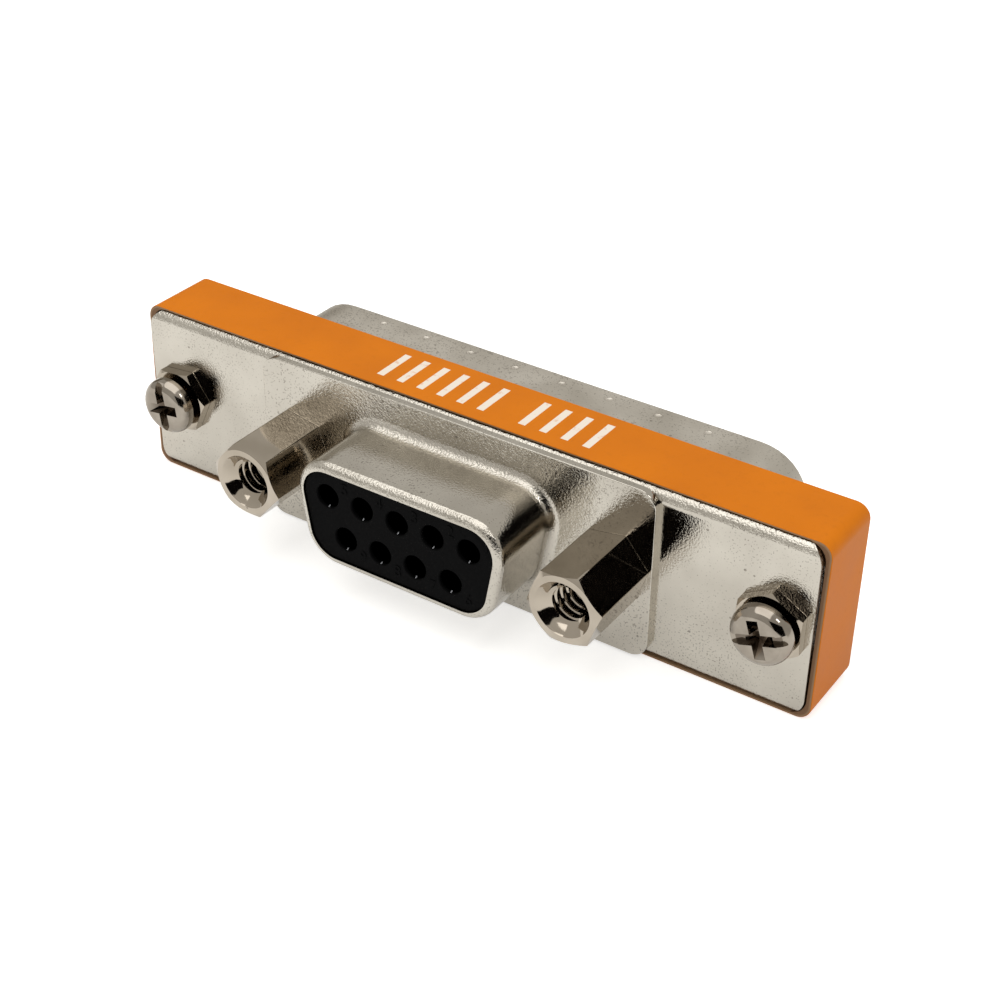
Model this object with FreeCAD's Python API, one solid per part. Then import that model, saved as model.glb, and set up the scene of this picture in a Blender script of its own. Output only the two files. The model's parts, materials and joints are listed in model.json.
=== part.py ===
import FreeCAD, Part
import math
import os

# Slim adapter between a 9 way D socket (front, -Y) and a 25 way D plug (back, +Y).
# Millimetres. +X along the long side, +Z up. The origin is the centre of the band's bottom face.

# contact grid shared by both connectors
contact_pitch = 2.76
row_spacing = 2.84
side_angle = 10.0
socket_contact_count = 9
plug_contact_count = 25

# flat sides of round pieces that repeat or stay hidden, kept few
pin_sides = 8
contact_sides = 6
hole_sides = 16
hidden_sides = 12
dimple_sides = 6

# coloured band around the body
band_beyond_screw = 3.055
band_beyond_plug = 1.805
band_depth = 5.4
band_wall = 0.2
band_corner = 1.0

# folded front plate
plate_thickness = 0.45
plate_recess = 0.05
plate_gap = 0.03
plate_end_gap = 0.25
plate_bend = 1.1
plate_corner = 0.9

# socket shell, drawn from one sheet
socket_sheet = 0.5
flange_beyond_standoff = 2.905
socket_flange_corner = 1.3
hood_beyond_row = 2.58
hood_above_row = 2.505
hood_corner = 2.6
hood_length = 6.1
hood_wall = 0.4
hood_root = 0.5
hood_lip = 0.28
hood_lip_depth = 0.35

# plug shell, drawn from one sheet
plug_sheet = 0.45
plug_recess = 0.05
plug_beyond_row = 3.54
plug_above_row = 3.205
plug_corner = 3.6
plug_length = 5.6
plug_wall = 0.4
plug_root = 0.4
dimple_pitch = 3.77
dimples_wide_count = 8
dimples_narrow_count = 7
dimple_radius = 0.55
dimple_depth = 0.2
dimple_from_rim = 0.5

# insulators and circuit board
insulator_gap = 0.05
socket_face_recess = 0.12
socket_rim_thickness = 0.9
socket_rim_overlap = 1.1
plug_rim_thickness = 1.5
plug_rim_overlap = 0.6
plug_face_height = 0.9
board_thickness = 0.8
board_overlap = 0.6

# contacts
socket_hole_radius = 0.78
contact_gap = 0.04
contact_depth = 0.9
contact_bore = 0.6
contact_bore_depth = 4.6
pin_radius = 0.51
pin_below_rim = 0.6
pin_tip_height = 0.3

# hexagon standoffs riveted through the socket flange
standoff_beyond_hood = 4.395
standoff_flats = 4.75
standoff_length = 6.1
standoff_chamfer_radius = 2.55
thread_minor_radius = 1.17
thread_major_radius = 1.42
standoff_thread_depth = 5.3
standoff_mouth_radius = 1.9
stud_gap = 0.1
rivet_radius = 2.1
rivet_height = 0.5

# captive jackscrews with their hexagon nuts and retaining washers
screw_beyond_plug = 3.42
nut_flats = 4.36
nut_height = 0.93
nut_chamfer_radius = 2.32
nut_sleeve_radius = 1.8
nut_sleeve_length = 0.55
nut_press_gap = 0.02
nut_angle_left = 6.0
nut_angle_right = 30.0
neck_radius = 1.0
neck_gap = 0.08
shank_radius = 1.2
thread_beyond_flange = 0.7
screw_head_radius = 2.02
screw_head_height = 0.9
screw_head_round = 0.5
screw_slot_width = 0.5
screw_slot_depth = 0.3
cross_wing_width = 0.75
cross_length = 2.9
cross_depth = 0.75
cross_core_radius = 0.45
screw_tip_chamfer = 0.3
screw_reach = 6.0
captive_travel = 2.6
screw_pull_left = 0.47
screw_pull_right = 0.4
screw_angle_left = 82.0
screw_angle_right = -18.0
washer_radius = 2.2
washer_thickness = 0.5
washer_gap = 0.06
washer_end_gap = 0.03

# sizes that follow from the contact grid
socket_row_length = (socket_contact_count - 1) / 2 * contact_pitch
plug_row_length = (plug_contact_count - 1) / 2 * contact_pitch
hood_width = socket_row_length + 2 * hood_beyond_row
hood_height = row_spacing + 2 * hood_above_row
plug_width = plug_row_length + 2 * plug_beyond_row
plug_height = row_spacing + 2 * plug_above_row
standoff_spacing = hood_width + 2 * standoff_beyond_hood
screw_spacing = plug_width + 2 * screw_beyond_plug
socket_flange_width = standoff_spacing + 2 * flange_beyond_standoff
band_length = screw_spacing + 2 * band_beyond_screw
band_height = plug_height + 2 * band_beyond_plug

# places worked out from the sizes above
axis_z = band_height / 2
band_front = -band_depth / 2
band_back = band_depth / 2
plate_front = band_front + plate_recess
plate_back = plate_front + plate_thickness
flange_front = plate_front - socket_sheet
hood_front = flange_front - hood_length
plug_back = band_back - plug_recess
plug_front = plug_back - plug_sheet
plug_end = plug_back + plug_length
inner_length = band_length - 2 * band_wall
inner_height = band_height - 2 * band_wall
plate_length = inner_length - 2 * plate_end_gap
plate_height = inner_height - 2 * plate_gap
rim_back = plate_back + socket_rim_thickness
plug_rim_front = plug_front - plug_rim_thickness
free_depth = plug_rim_front - rim_back - board_thickness
board_front = rim_back + free_depth / 2
board_back = board_front + board_thickness
nut_front = plate_front - nut_height
nut_back = plate_back + nut_sleeve_length
clear_hole_radius = thread_major_radius + stud_gap
shank_start = nut_back + captive_travel + washer_thickness + washer_end_gap
thread_start = plug_back + thread_beyond_flange


def at(x, y, z):
    """Point whose height is counted from the connectors' axis."""
    return FreeCAD.Vector(x, y, z + axis_z)


def rod(x, z, radius, y0, y1):
    """Cylinder along Y."""
    return Part.makeCylinder(radius, y1 - y0, at(x, y0, z), FreeCAD.Vector(0, 1, 0))


def cone(x, z, radius0, radius1, y0, y1):
    """Cone along Y."""
    return Part.makeCone(radius0, radius1, y1 - y0, at(x, y0, z), FreeCAD.Vector(0, 1, 0))


def block(length, height, y0, y1):
    """Box centred on the connectors' axis."""
    return Part.makeBox(length, y1 - y0, height, at(-length / 2, y0, -height / 2))


def prism(points, y0, y1):
    """Solid between two Y planes with the outline given as (x, z) points."""
    corners = [at(x, y0, z) for x, z in points]
    face = Part.Face(Part.makePolygon(corners + corners[:1]))
    return face.extrude(FreeCAD.Vector(0, y1 - y0, 0))


def edges_along_y(shape):
    """Edges that run straight from front to back."""
    found = []
    for edge in shape.Edges:
        box = edge.BoundBox
        if box.XLength < 1e-6 and box.ZLength < 1e-6:
            found.append(edge)
    return found


def edges_in_plane(shape, y):
    """Edges that lie wholly at one Y."""
    found = []
    for edge in shape.Edges:
        box = edge.BoundBox
        if abs(box.YMin - y) < 1e-5 and abs(box.YMax - y) < 1e-5:
            found.append(edge)
    return found


def rounded_block(length, height, radius, y0, y1):
    """Box with its four front to back edges rounded."""
    solid = block(length, height, y0, y1)
    return solid.makeFillet(radius, edges_along_y(solid))


def d_wire(width, height, radius, inset, y):
    """D outline at one Y, wide side up, moved inwards by the inset all round."""
    radius = radius - inset
    high = height / 2 - inset
    slope = math.tan(math.radians(side_angle))
    half_corner = math.radians((90 - side_angle) / 2)
    top = width / 2 - inset - radius + radius / math.tan(half_corner)
    bottom = top - 2 * high * slope
    corners = [(-top, high), (top, high), (bottom, -high), (-bottom, -high)]
    starts = []
    middles = []
    ends = []
    for index, (x, z) in enumerate(corners):
        corner = FreeCAD.Vector(x, 0, z)
        before = (FreeCAD.Vector(corners[index - 1][0], 0, corners[index - 1][1]) - corner).normalize()
        after = corners[(index + 1) % 4]
        after = (FreeCAD.Vector(after[0], 0, after[1]) - corner).normalize()
        half = before.getAngle(after) / 2
        starts.append(corner + before * (radius / math.tan(half)))
        middles.append(corner + (before + after).normalize() * (radius / math.sin(half) - radius))
        ends.append(corner + after * (radius / math.tan(half)))
    edges = []
    for index in range(4):
        arc = [at(p.x, y, p.z) for p in (starts[index], middles[index], ends[index])]
        edges.append(Part.Arc(*arc).toShape())
        straight = [at(p.x, y, p.z) for p in (ends[index], starts[(index + 1) % 4])]
        edges.append(Part.makeLine(*straight))
    return Part.Wire(edges)


def d_offset(width, height, radius, inset, y0, y1):
    """Solid with the D outline moved inwards by one inset all round."""
    face = Part.Face(d_wire(width, height, radius, inset, y0))
    return face.extrude(FreeCAD.Vector(0, y1 - y0, 0))


def d_loft(width, height, radius, sections):
    """Solid through D outlines, each given by its inset and its Y."""
    wires = [d_wire(width, height, radius, inset, y) for inset, y in sections]
    return Part.makeLoft(wires, True, True)


def round_steps(radius):
    """Chords of a quarter round: inset from one face and depth below the other."""
    near = radius * (1 - math.sqrt(0.5))
    return [(radius, 0.0), (near, near), (0.0, radius)]


def ring(radius, sides):
    """Corners of a regular outline."""
    angles = [2 * math.pi * (step + 0.5) / sides for step in range(sides)]
    return [(radius * math.cos(angle), radius * math.sin(angle)) for angle in angles]


def bar(x, z, radius, sides, y0, y1):
    """Bar along Y with flat sides; the radius reaches its corners."""
    return prism([(x + a, z + b) for a, b in ring(radius, sides)], y0, y1)


def pyramid(corners, apex):
    """Solid between a flat ring of corners and one point."""
    faces = [Part.Face(Part.makePolygon(corners + corners[:1]))]
    for index, corner in enumerate(corners):
        faces.append(Part.Face(Part.makePolygon([corners[index - 1], corner, apex, corners[index - 1]])))
    return Part.makeSolid(Part.makeShell(faces))


def turned(profile):
    """Solid turned about the connectors' axis from (y, radius) points."""
    points = [at(radius, y, 0) for y, radius in profile]
    face = Part.Face(Part.makePolygon(points + points[:1]))
    return face.revolve(at(0, 0, 0), FreeCAD.Vector(0, 1, 0), 360)


def hex_radius(flats):
    """Distance from a hexagon's centre to its corners."""
    return flats / 2 / math.cos(math.radians(30))


def hexagon(x, flats, turn, y0, y1):
    """Hexagonal bar along Y, with a flat on top at turn 0."""
    radius = hex_radius(flats)
    points = []
    for step in range(6):
        angle = math.radians(60 * step + turn)
        points.append((x + radius * math.cos(angle), radius * math.sin(angle)))
    return prism(points, y0, y1)


def contact_places(contact_count):
    """Places of the contacts, the longer upper row first, each row from +X to -X."""
    places = []
    upper = (contact_count + 1) // 2
    for row, count in ((1, upper), (-1, contact_count - upper)):
        for index in range(count):
            x = ((count - 1) / 2 - index) * contact_pitch
            places.append((x, row * row_spacing / 2))
    return places


def cut_all(solid, tools):
    """Solid less every tool."""
    return solid.cut(Part.makeCompound(tools))


def band():
    outer = rounded_block(band_length, band_height, band_corner, band_front, band_back)
    inner = rounded_block(inner_length, inner_height, band_corner - band_wall, band_front, band_back)
    return outer.cut(inner)


def plate_outline(y0, y1):
    """Outline that the front plate and the plug flange share."""
    return rounded_block(plate_length, plate_height, plate_corner, y0, y1)


def front_plate():
    """Plate whose long sides fold back and stand on the plug flange."""
    outer = block(plate_length, plate_height, plate_front, plug_front)
    long_edges = [e for e in edges_in_plane(outer, plate_front) if e.BoundBox.XLength > 1]
    outer = outer.makeFillet(plate_bend, long_edges)
    core_height = plate_height - 2 * plate_thickness
    core = block(plate_length, core_height, plate_back, plug_front)
    long_edges = [e for e in edges_in_plane(core, plate_back) if e.BoundBox.XLength > 1]
    core = core.makeFillet(plate_bend - plate_thickness, long_edges)
    folded = outer.cut(core).common(plate_outline(plate_front, plug_front))
    opening = d_offset(hood_width, hood_height, hood_corner, hood_wall, plate_front, plate_back)
    tools = [opening]
    for side in (-1, 1):
        x = side * standoff_spacing / 2
        tools.append(bar(x, 0, clear_hole_radius, hidden_sides, plate_front, plate_back))
        x = side * screw_spacing / 2
        tools.append(bar(x, 0, nut_sleeve_radius + nut_press_gap, hidden_sides, plate_front, plate_back))
    return cut_all(folded, tools)


def socket_shell():
    """Flange and hood drawn from one sheet, with the hood's rim turned in."""
    flange = rounded_block(socket_flange_width, plate_height, socket_flange_corner, flange_front, plate_front)
    sections = [(-hood_root, plate_front)]
    sections += [(-inset, flange_front - depth) for inset, depth in round_steps(hood_root)]
    sections += [(inset, hood_front + depth) for inset, depth in reversed(round_steps(hood_wall + hood_lip))]
    shell = flange.fuse(d_loft(hood_width, hood_height, hood_corner, sections)).removeSplitter()
    lip_back = hood_front + hood_lip_depth
    tools = [d_offset(hood_width, hood_height, hood_corner, hood_wall, lip_back, plate_front)]
    tools.append(d_offset(hood_width, hood_height, hood_corner, hood_wall + hood_lip, hood_front, lip_back))
    for side in (-1, 1):
        x = side * standoff_spacing / 2
        tools.append(bar(x, 0, clear_hole_radius, hidden_sides, flange_front, plate_front))
    return cut_all(shell, tools)


def socket_insulator():
    """Moulding inside the hood, stepped to pass the lip, with a rim behind the front plate."""
    lip_back = hood_front + hood_lip_depth
    face = hood_front + socket_face_recess
    inset = hood_wall + insulator_gap
    body = d_offset(hood_width, hood_height, hood_corner, inset, lip_back + insulator_gap, plate_back)
    nose = d_offset(hood_width, hood_height, hood_corner, inset + hood_lip, face, lip_back + insulator_gap)
    overlap = 2 * socket_rim_overlap
    rim = block(hood_width + overlap, hood_height + overlap, plate_back, rim_back)
    tools = []
    for x, z in contact_places(socket_contact_count):
        tools.append(bar(x, z, socket_hole_radius, hole_sides, face, rim_back))
    return cut_all(body.fuse(nose).fuse(rim).removeSplitter(), tools)


def socket_contact(x, z):
    """Sleeve that ends on the board."""
    front = hood_front + socket_face_recess + contact_depth
    sleeve = bar(x, z, socket_hole_radius - contact_gap, contact_sides, front, board_front)
    return sleeve.cut(bar(x, z, contact_bore, contact_sides, front, front + contact_bore_depth))


def circuit_board():
    """Plain board; the contacts of both connectors end on its two faces."""
    overlap = 2 * board_overlap
    return block(plug_width + overlap, plug_height + overlap, board_front, board_back)


def plug_insulator():
    """Moulding at the bottom of the plug shell with a rim in front of the flange."""
    inset = plug_wall + insulator_gap
    face = plug_back + plug_face_height
    overlap = 2 * plug_rim_overlap
    rim = block(plug_width + overlap, plug_height + overlap, plug_rim_front, plug_front)
    body = d_offset(plug_width, plug_height, plug_corner, inset, plug_front, face)
    tools = []
    for x, z in contact_places(plug_contact_count):
        tools.append(bar(x, z, pin_radius + contact_gap, pin_sides, plug_rim_front, face))
    return cut_all(rim.fuse(body).removeSplitter(), tools)


def plug_pin(x, z):
    """Pin from the board to a pointed tip."""
    tip = plug_end - pin_below_rim
    shoulder = tip - pin_tip_height
    shank = bar(x, z, pin_radius, pin_sides, board_back, shoulder)
    corners = [at(x + a, shoulder, z + b) for a, b in ring(pin_radius, pin_sides)]
    return shank.fuse(pyramid(corners, at(x, tip, z))).removeSplitter()


def dimple(x, y, side, outside):
    """Shallow pointed peg from one height towards the connectors' axis."""
    corners = [at(x + a, y + b, side * outside) for a, b in ring(dimple_radius, dimple_sides)]
    return pyramid(corners, at(x, y, side * (outside - dimple_depth)))


def dimples(count, side):
    """Pegs that cut and raise one row of pressed dimples in the plug shell."""
    y = plug_end - dimple_from_rim - dimple_radius
    outside = plug_height / 2
    bumps = []
    dents = []
    for index in range(count):
        x = (index - (count - 1) / 2) * dimple_pitch
        dents.append(dimple(x, y, side, outside))
        bumps.append(dimple(x, y, side, outside - plug_wall))
    return bumps, dents


def plug_shell():
    """Flange and D shell drawn from one sheet, with a row of dimples on each long side."""
    sections = [(-plug_root, plug_front), (-plug_root, plug_back), (0, plug_back + plug_root), (0, plug_end)]
    shell = plate_outline(plug_front, plug_back)
    shell = shell.fuse(d_loft(plug_width, plug_height, plug_corner, sections)).removeSplitter()
    shell = shell.cut(d_offset(plug_width, plug_height, plug_corner, plug_wall, plug_front, plug_end))
    bumps_wide, dents_wide = dimples(dimples_wide_count, 1)
    bumps_narrow, dents_narrow = dimples(dimples_narrow_count, -1)
    for bump in bumps_wide + bumps_narrow:
        shell = shell.fuse(bump)
    tools = dents_wide + dents_narrow
    for side in (-1, 1):
        tools.append(bar(side * screw_spacing / 2, 0, clear_hole_radius, hole_sides, plug_front, plug_back))
    return cut_all(shell, tools).removeSplitter()


def standoff(side):
    """Tapped hexagon standoff whose stud is riveted behind the front plate."""
    x = side * standoff_spacing / 2
    front = flange_front - standoff_length
    corner_radius = hex_radius(standoff_flats)
    hexed = hexagon(x, standoff_flats, 0, front, flange_front)
    taper = (corner_radius - standoff_chamfer_radius) * 0.6
    envelope = cone(x, 0, standoff_chamfer_radius, corner_radius, front, front + taper)
    envelope = envelope.fuse(rod(x, 0, corner_radius, front + taper, flange_front))
    hexed = hexed.common(envelope)
    stud = bar(x, 0, thread_major_radius, hidden_sides, flange_front, plate_back)
    head = bar(x, 0, rivet_radius, hidden_sides, plate_back, plate_back + rivet_height)
    mouth_depth = standoff_mouth_radius - thread_minor_radius
    tools = [rod(x, 0, thread_minor_radius, front, front + standoff_thread_depth)]
    tools.append(cone(x, 0, standoff_mouth_radius, thread_minor_radius, front, front + mouth_depth))
    return cut_all(hexed.fuse(stud).fuse(head).removeSplitter(), tools)


def hex_nut(side, turn):
    """Thin hexagon nut pressed into the front plate; the screw's neck runs in it."""
    x = side * screw_spacing / 2
    corner_radius = hex_radius(nut_flats)
    hexed = hexagon(x, nut_flats, turn, nut_front, plate_front)
    taper = (corner_radius - nut_chamfer_radius) * 0.6
    envelope = cone(x, 0, nut_chamfer_radius, corner_radius, nut_front, nut_front + taper)
    envelope = envelope.fuse(rod(x, 0, corner_radius, nut_front + taper, plate_front))
    sleeve = bar(x, 0, nut_sleeve_radius, hidden_sides, plate_front, nut_back)
    bore = rod(x, 0, neck_radius + neck_gap, nut_front, nut_back)
    return hexed.common(envelope).fuse(sleeve).removeSplitter().cut(bore)


def retaining_washer(side, pull):
    """Washer on the screw's neck that keeps the screw from falling out."""
    x = side * screw_spacing / 2
    back = shank_start - washer_end_gap - pull
    front = back - washer_thickness
    bore = (neck_radius + washer_gap) / math.cos(math.pi / hidden_sides)
    disc = bar(x, 0, washer_radius, hidden_sides, front, back)
    return disc.cut(bar(x, 0, bore, hidden_sides, front, back))


def drive_recess(face):
    """Straight slot right across the head, and a tapered cross at its centre."""
    slot_width = 2 * screw_head_radius
    corner = at(-slot_width / 2, face, -screw_slot_width / 2)
    tools = [Part.makeBox(slot_width, screw_slot_depth, screw_slot_width, corner)]
    half = cross_wing_width / 2
    for turn in (0, 90):
        outline = [(-cross_length / 2, 0), (cross_length / 2, 0), (cross_core_radius, cross_depth)]
        outline.append((-cross_core_radius, cross_depth))
        corners = [at(x, face + depth, -half) for x, depth in outline]
        wing = Part.Face(Part.makePolygon(corners + corners[:1])).extrude(FreeCAD.Vector(0, 0, 2 * half))
        wing.rotate(at(0, face, 0), FreeCAD.Vector(0, 1, 0), turn)
        tools.append(wing)
    return tools


def jackscrew(side, pull, turn):
    """Cheese head screw with a thin neck, a shank and a threaded end, drawn out by its pull."""
    x = side * screw_spacing / 2
    seat = nut_front - pull
    face = seat - screw_head_height
    shank = shank_start - pull
    thread = thread_start - pull
    tip = plug_back + screw_reach - pull
    profile = [(face, 0)]
    profile += [(face + depth, screw_head_radius - inset) for inset, depth in round_steps(screw_head_round)]
    profile += [(seat, screw_head_radius), (seat, neck_radius), (shank, neck_radius), (shank, shank_radius)]
    profile += [(thread, shank_radius), (thread, thread_major_radius)]
    profile += [(tip - screw_tip_chamfer, thread_major_radius)]
    profile += [(tip, thread_major_radius - screw_tip_chamfer), (tip, 0)]
    screw = cut_all(turned(profile), drive_recess(face))
    screw.rotate(at(0, 0, 0), FreeCAD.Vector(0, 1, 0), turn)
    screw.translate(FreeCAD.Vector(x, 0, 0))
    return screw


def numbered(name, maker, contact_count):
    """One named piece per contact, numbered from 1 at the +X end of the upper row."""
    made = {}
    for number, (x, z) in enumerate(contact_places(contact_count), 1):
        made[f"{name}_{number}"] = maker(x, z)
    return made


def model():
    """Every piece with its name."""
    parts = {
        "band": band(),
        "front_plate": front_plate(),
        "socket_shell": socket_shell(),
        "socket_insulator": socket_insulator(),
        "circuit_board": circuit_board(),
        "plug_insulator": plug_insulator(),
        "plug_shell": plug_shell(),
        "standoff_left": standoff(-1),
        "standoff_right": standoff(1),
        "hex_nut_left": hex_nut(-1, nut_angle_left),
        "hex_nut_right": hex_nut(1, nut_angle_right),
        "retaining_washer_left": retaining_washer(-1, screw_pull_left),
        "retaining_washer_right": retaining_washer(1, screw_pull_right),
        "jackscrew_left": jackscrew(-1, screw_pull_left, screw_angle_left),
        "jackscrew_right": jackscrew(1, screw_pull_right, screw_angle_right),
    }
    parts.update(numbered("socket_contact", socket_contact, socket_contact_count))
    parts.update(numbered("plug_pin", plug_pin, plug_contact_count))
    return parts


def main():
    os.makedirs("parts", exist_ok=True)
    for name, shape in model().items():
        shape.exportStep(f"parts/{name}.step")
        print(name, len(shape.Solids), "solid", round(shape.Volume, 3), "mm3")


main()
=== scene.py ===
import bpy
import bmesh
import json
import math
from mathutils import Matrix, Vector

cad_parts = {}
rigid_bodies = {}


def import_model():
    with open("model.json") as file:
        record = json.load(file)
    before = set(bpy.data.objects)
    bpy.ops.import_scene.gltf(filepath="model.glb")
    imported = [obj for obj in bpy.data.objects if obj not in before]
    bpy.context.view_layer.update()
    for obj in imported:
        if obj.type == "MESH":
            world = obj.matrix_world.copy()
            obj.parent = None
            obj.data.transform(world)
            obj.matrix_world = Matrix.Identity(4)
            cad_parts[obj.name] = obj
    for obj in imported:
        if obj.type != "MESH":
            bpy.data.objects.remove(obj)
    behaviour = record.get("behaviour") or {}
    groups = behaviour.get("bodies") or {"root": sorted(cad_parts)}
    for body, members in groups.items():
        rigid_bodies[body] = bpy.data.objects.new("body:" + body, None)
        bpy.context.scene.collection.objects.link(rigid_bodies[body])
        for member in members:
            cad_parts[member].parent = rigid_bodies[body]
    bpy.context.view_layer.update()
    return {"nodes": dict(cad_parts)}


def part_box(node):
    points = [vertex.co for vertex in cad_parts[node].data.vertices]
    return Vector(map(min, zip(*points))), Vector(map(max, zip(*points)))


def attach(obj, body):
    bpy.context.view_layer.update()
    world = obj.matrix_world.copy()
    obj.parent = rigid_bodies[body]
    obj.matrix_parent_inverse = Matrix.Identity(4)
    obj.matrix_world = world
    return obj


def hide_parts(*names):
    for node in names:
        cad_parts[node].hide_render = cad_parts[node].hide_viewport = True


for leftover in list(bpy.data.objects):
    bpy.data.objects.remove(leftover)

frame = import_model()
mm = 0.001  # sizes and places are in millimetres, Blender's units are metres
clear = 0.2  # how far a cutter reaches past what it cuts
axisHeight = (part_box("band")[0][2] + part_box("band")[1][2]) / 2 / mm
print("frame loaded,", len(frame["nodes"]), "nodes")


def meshFrom(name, bm):
    mesh = bpy.data.meshes.new(name)
    bm.to_mesh(mesh)
    bm.free()
    return mesh


def linkNew(name, data):
    thing = bpy.data.objects.new(name, data)
    bpy.context.collection.objects.link(thing)
    return thing


# where the photograph was taken from
view = {
    "eye": (58.81, -86.13, 72.97),
    "azimuth": 33.512,
    "elevation": 33.185,
    "roll": 0.794,
    "lens": 66.474,
    "nearest": 5.0,
}


def aimCamera():
    azimuth, elevation, roll = (math.radians(view[key]) for key in ("azimuth", "elevation", "roll"))
    level = Vector((math.cos(azimuth), math.sin(azimuth), 0))
    back = Vector((math.sin(azimuth) * math.cos(elevation),
                   -math.cos(azimuth) * math.cos(elevation), math.sin(elevation)))
    rise = back.cross(level)
    right = level * math.cos(roll) + rise * math.sin(roll)
    up = rise * math.cos(roll) - level * math.sin(roll)
    data = bpy.data.cameras.new("photoCamera")
    data.lens = view["lens"]
    data.clip_start = view["nearest"] * mm
    camera = linkNew("photoCamera", data)
    turn = Matrix((right, up, back)).transposed().to_4x4()
    camera.matrix_world = Matrix.Translation(Vector(view["eye"]) * mm) @ turn
    bpy.context.scene.camera = camera


aimCamera()
print("camera set")


def dressMesh(name, mesh, material, body="housing", stands=(), slot=None, angle=30):
    # smooth shading, material, body and the CAD nodes that the piece stands for
    for face in mesh.polygons:
        face.use_smooth = True
    mesh.set_sharp_from_angle(angle=math.radians(angle))
    mesh.materials.clear()
    mesh.materials.append(material)
    piece = linkNew(name, mesh)
    evenOut = piece.modifiers.new("evenNormals", "WEIGHTED_NORMAL")
    evenOut.keep_sharp = True
    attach(piece, body)
    if stands:
        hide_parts(*stands)


def dressForm(name, bm, material, **rest):
    dressMesh(name, meshFrom(name, bm), material, **rest)


def carve(bm, *steps):
    # runs booleans in turn and hands back the finished mesh
    work = linkNew("work", meshFrom("work", bm))
    spare = [work]
    for operation, form in steps:
        cut = work.modifiers.new("cut", "BOOLEAN")
        cut.operation = operation
        cut.solver = "EXACT"
        cut.object = linkNew("work", meshFrom("work", form))
        spare.append(cut.object)
    seen = work.evaluated_get(bpy.context.evaluated_depsgraph_get())
    done = bpy.data.meshes.new_from_object(seen)
    for thing in spare:
        bpy.data.objects.remove(thing)
    return done


def formFrom(mesh):
    bm = bmesh.new()
    bm.from_mesh(mesh)
    return bm


def joinForms(bm, extra):
    mesh = meshFrom("join", extra)
    bm.from_mesh(mesh)
    bpy.data.meshes.remove(mesh)


def closeUp(bm):
    bmesh.ops.remove_doubles(bm, verts=bm.verts, dist=1e-7)
    bmesh.ops.recalc_face_normals(bm, faces=bm.faces)
    return bm


def liftForm(bm, x, z=0.0):
    # from the origin to x and z beside the middle of the adapter
    bmesh.ops.translate(bm, verts=bm.verts, vec=Vector((x, 0, axisHeight + z)) * mm)
    return bm


def shiftTo(x, y, z):
    return Matrix.Translation(Vector((x, y, z)) * mm)


def quarterRound(radius, steps=6):
    # pairs of inset and depth, from the side to the face
    turns = [math.pi / 2 * step / steps for step in range(steps + 1)]
    return [(radius * (1 - math.cos(turn)), radius * (1 - math.sin(turn))) for turn in turns]


def cornerRing(bm, corners, radius, y, segments=10):
    # closed outline with rounded corners, handed back as its edges
    known = set(bm.edges)
    verts = [bm.verts.new((x * mm, y * mm, (axisHeight + z) * mm)) for x, z in corners]
    for index in range(4):
        bm.edges.new((verts[index], verts[(index + 1) % 4]))
    for index, vert in enumerate(verts):
        here = Vector(corners[index])
        before = Vector(corners[index - 1]) - here
        after = Vector(corners[(index + 1) % 4]) - here
        reach = radius / math.tan(before.angle(after) / 2)
        bmesh.ops.bevel(bm, geom=[vert], offset=reach * mm, offset_type="OFFSET",
                        segments=segments, profile=0.5, affect="VERTICES",
                        clamp_overlap=False, material=-1)
    return [edge for edge in bm.edges if edge not in known]


def shellRing(bm, form, inset, y):
    # D outline with its wide side up
    high = form["height"] / 2 - inset
    radius = form["corner"] - inset
    slope = math.tan(math.radians(form["sideAngle"]))
    toTangent = radius / math.tan(math.radians((90 - form["sideAngle"]) / 2))
    top = form["width"] / 2 - inset - radius + toTangent
    low = top - 2 * high * slope
    return cornerRing(bm, [(-top, high), (top, high), (low, -high), (-low, -high)], radius, y)


def sizeOf(form, part):
    return [form[part + key] for key in ("Length", "Height", "Corner")]


def plateRing(bm, length, height, corner, inset, y):
    x = length / 2 - inset
    z = height / 2 - inset
    radius = max(corner - inset, 0.02)  # never quite sharp
    return cornerRing(bm, [(-x, z), (x, z), (x, -z), (-x, -z)], radius, y)


def bridgeAll(bm, rings):
    for near, far in zip(rings, rings[1:]):
        bmesh.ops.bridge_loops(bm, edges=near + far)


def fillBetween(bm, *rings):
    bmesh.ops.triangle_fill(bm, use_beauty=True, edges=sum(rings, []))


def solidBetween(bm, rings):
    bridgeAll(bm, rings)
    fillBetween(bm, rings[0])
    fillBetween(bm, rings[-1])
    return closeUp(bm)


def turnedForm(profile, steps=48, x=0.0, z=0.0):
    # solid turned about a line along Y from points of y and radius
    bm = bmesh.new()
    line = [bm.verts.new((radius * mm, y * mm, 0)) for y, radius in profile]
    edges = [bm.edges.new(pair) for pair in zip(line, line[1:])]
    bmesh.ops.spin(bm, geom=line + edges, cent=(0, 0, 0), axis=(0, 1, 0), dvec=(0, 0, 0),
                   angle=math.tau, steps=steps, use_merge=True)
    return liftForm(closeUp(bm), x, z)


def sweptForm(section, angle, rise, steps, x, z=0.0, start=0.0):
    # closed outline of radius and y, swept about a line along Y and closed at its ends
    bm = bmesh.new()
    loop = [bm.verts.new((radius * mm, y * mm, 0)) for radius, y in section]
    edges = [bm.edges.new((loop[index - 1], loop[index])) for index in range(len(loop))]
    bmesh.ops.rotate(bm, verts=bm.verts, cent=(0, 0, 0), matrix=Matrix.Rotation(start, 3, "Y"))
    bmesh.ops.spin(bm, geom=loop + edges, cent=(0, 0, 0), axis=(0, 1, 0),
                   dvec=(0, rise, 0), angle=angle, steps=steps)
    bmesh.ops.holes_fill(bm, edges=[edge for edge in bm.edges if edge.is_boundary])
    return liftForm(closeUp(bm), x, z)


def rodForm(front, back, radius, steps, x):
    return turnedForm([(front, 0), (front, radius), (back, radius), (back, 0)], steps, x)


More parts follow.
